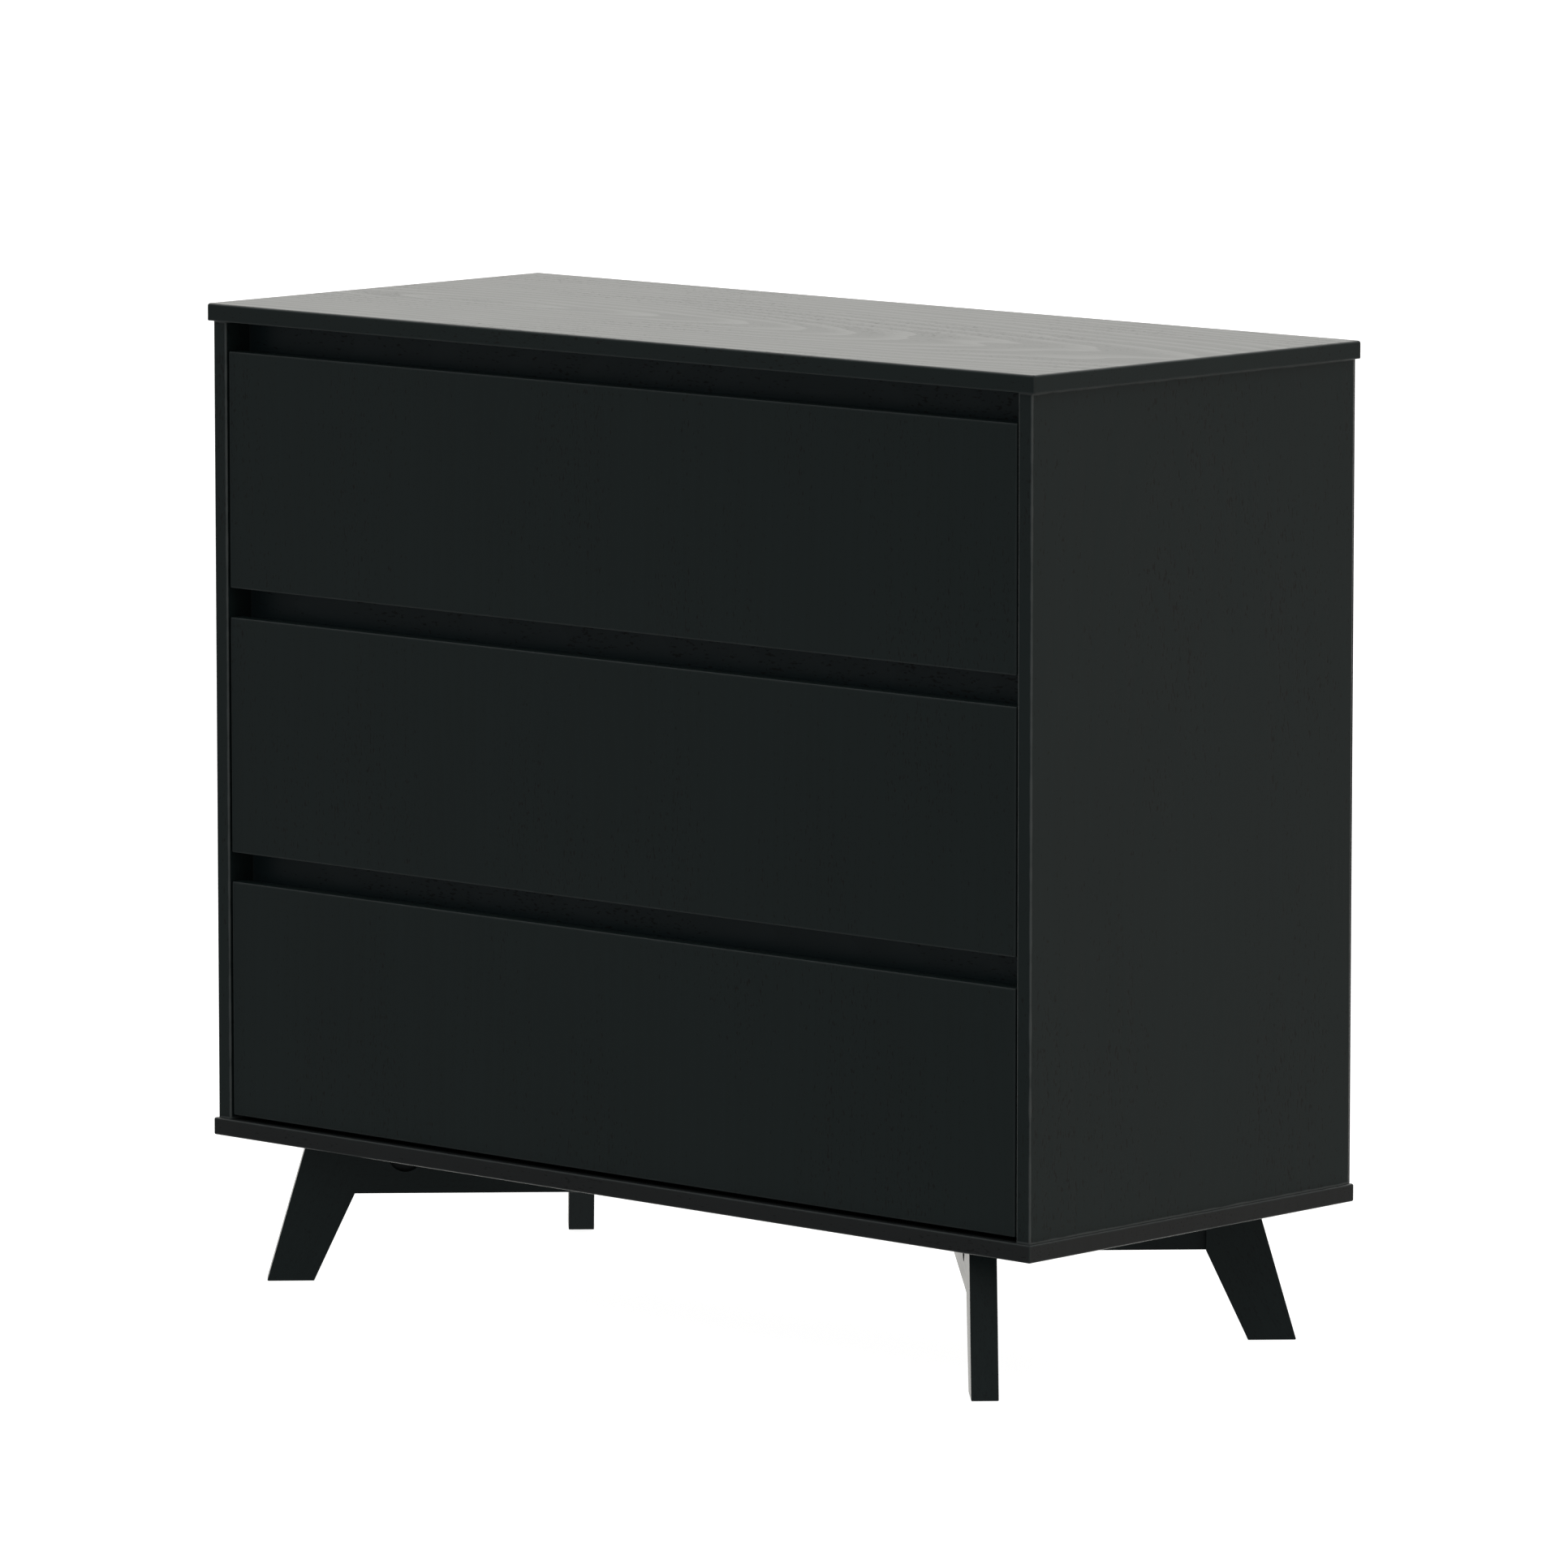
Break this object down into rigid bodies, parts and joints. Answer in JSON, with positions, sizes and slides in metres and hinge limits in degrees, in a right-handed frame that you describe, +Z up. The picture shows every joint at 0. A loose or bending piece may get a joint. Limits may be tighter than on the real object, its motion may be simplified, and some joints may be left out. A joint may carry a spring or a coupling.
{
  "type": "chest of drawers",
  "caption": "Low handle-less chest with recessed finger gaps, overhanging top and bottom slabs, drawers on telescopic slides and splayed flat legs set at 45 degrees.",
  "frame": {"origin": "on the floor, under the centre of the top slab", "axes": "+X to the right seen from the front, +Y to the back, +Z up; drawers open towards -Y"},
  "size_m": [1.004, 0.433, 0.894],
  "materials": {
    "black_woodgrain_board": "matt black woodgrain melamine",
    "black_stained_wood": "satin black stain",
    "black_hardboard": "printed matt black",
    "grey_drawer_board": "matt light grey melamine",
    "grey_hardboard": "lacquered hardboard",
    "beech_dowel": "bare fluted beech",
    "zinc_plated_slide": "bright zinc plate",
    "zinc_fittings": "zinc plate",
    "glide_plastic": "moulded black"
  },
  "bodies": {
    "cabinet": {"back_panel": "black_hardboard", "back_panel_nails": "zinc_fittings", "bottom_left_cabinet_runner": "zinc_plated_slide", "bottom_panel": "black_woodgrain_board", "bottom_right_cabinet_runner": "zinc_plated_slide", "cabinet_dowels": "beech_dowel", "cabinet_runner_screws": "zinc_fittings", "cam_bolts": "zinc_fittings", "cam_locks": "zinc_fittings", "foot_glides": "glide_plastic", "front_left_leg": "black_stained_wood", "front_left_leg_brace": "black_stained_wood", "front_right_leg": "black_stained_wood", "front_right_leg_brace": "black_stained_wood", "left_side_panel": "black_woodgrain_board", "leg_bolts": "zinc_fittings", "leg_bracket_screws": "zinc_fittings", "leg_brackets": "zinc_fittings", "leg_dowels": "beech_dowel", "lower_middle_rail": "black_woodgrain_board", "middle_left_cabinet_runner": "zinc_plated_slide", "middle_right_cabinet_runner": "zinc_plated_slide", "rear_left_leg": "black_stained_wood", "rear_left_leg_brace": "black_stained_wood", "rear_right_leg": "black_stained_wood", "rear_right_leg_brace": "black_stained_wood", "right_side_panel": "black_woodgrain_board", "top_left_cabinet_runner": "zinc_plated_slide", "top_panel": "black_woodgrain_board", "top_rail": "black_woodgrain_board", "top_right_cabinet_runner": "zinc_plated_slide", "upper_middle_rail": "black_woodgrain_board"},
    "bottom_drawer": {"bottom_drawer_back": "grey_drawer_board", "bottom_drawer_bottom": "grey_hardboard", "bottom_drawer_fittings": "zinc_fittings", "bottom_drawer_front": "black_woodgrain_board", "bottom_drawer_left_side": "grey_drawer_board", "bottom_drawer_right_side": "grey_drawer_board", "bottom_left_drawer_runner": "zinc_plated_slide", "bottom_right_drawer_runner": "zinc_plated_slide"},
    "bottom_slide_intermediates": {"bottom_intermediate_runners": "zinc_plated_slide"},
    "middle_drawer": {"middle_drawer_back": "grey_drawer_board", "middle_drawer_bottom": "grey_hardboard", "middle_drawer_fittings": "zinc_fittings", "middle_drawer_front": "black_woodgrain_board", "middle_drawer_left_side": "grey_drawer_board", "middle_drawer_right_side": "grey_drawer_board", "middle_left_drawer_runner": "zinc_plated_slide", "middle_right_drawer_runner": "zinc_plated_slide"},
    "middle_slide_intermediates": {"middle_intermediate_runners": "zinc_plated_slide"},
    "top_drawer": {"top_drawer_back": "grey_drawer_board", "top_drawer_bottom": "grey_hardboard", "top_drawer_fittings": "zinc_fittings", "top_drawer_front": "black_woodgrain_board", "top_drawer_left_side": "grey_drawer_board", "top_drawer_right_side": "grey_drawer_board", "top_left_drawer_runner": "zinc_plated_slide", "top_right_drawer_runner": "zinc_plated_slide"},
    "top_slide_intermediates": {"top_intermediate_runners": "zinc_plated_slide"}
  },
  "joints": [
    {"name": "bottom_drawer_slide", "type": "slide", "parent": "cabinet", "child": "bottom_drawer", "axis": [0, -1, 0], "range_m": [0, 0.35]},
    {"name": "bottom_intermediate_slide", "type": "slide", "parent": "cabinet", "child": "bottom_slide_intermediates", "axis": [0, -1, 0], "range_m": [0, 0.175]},
    {"name": "middle_drawer_slide", "type": "slide", "parent": "cabinet", "child": "middle_drawer", "axis": [0, -1, 0], "range_m": [0, 0.35]},
    {"name": "middle_intermediate_slide", "type": "slide", "parent": "cabinet", "child": "middle_slide_intermediates", "axis": [0, -1, 0], "range_m": [0, 0.175]},
    {"name": "top_drawer_slide", "type": "slide", "parent": "cabinet", "child": "top_drawer", "axis": [0, -1, 0], "range_m": [0, 0.35]},
    {"name": "top_intermediate_slide", "type": "slide", "parent": "cabinet", "child": "top_slide_intermediates", "axis": [0, -1, 0], "range_m": [0, 0.175]}
  ],
  "couplings": [
    {"joint": "bottom_intermediate_slide", "follows": "bottom_drawer_slide", "ratio": 0.5},
    {"joint": "middle_intermediate_slide", "follows": "middle_drawer_slide", "ratio": 0.5},
    {"joint": "top_intermediate_slide", "follows": "top_drawer_slide", "ratio": 0.5}
  ]
}
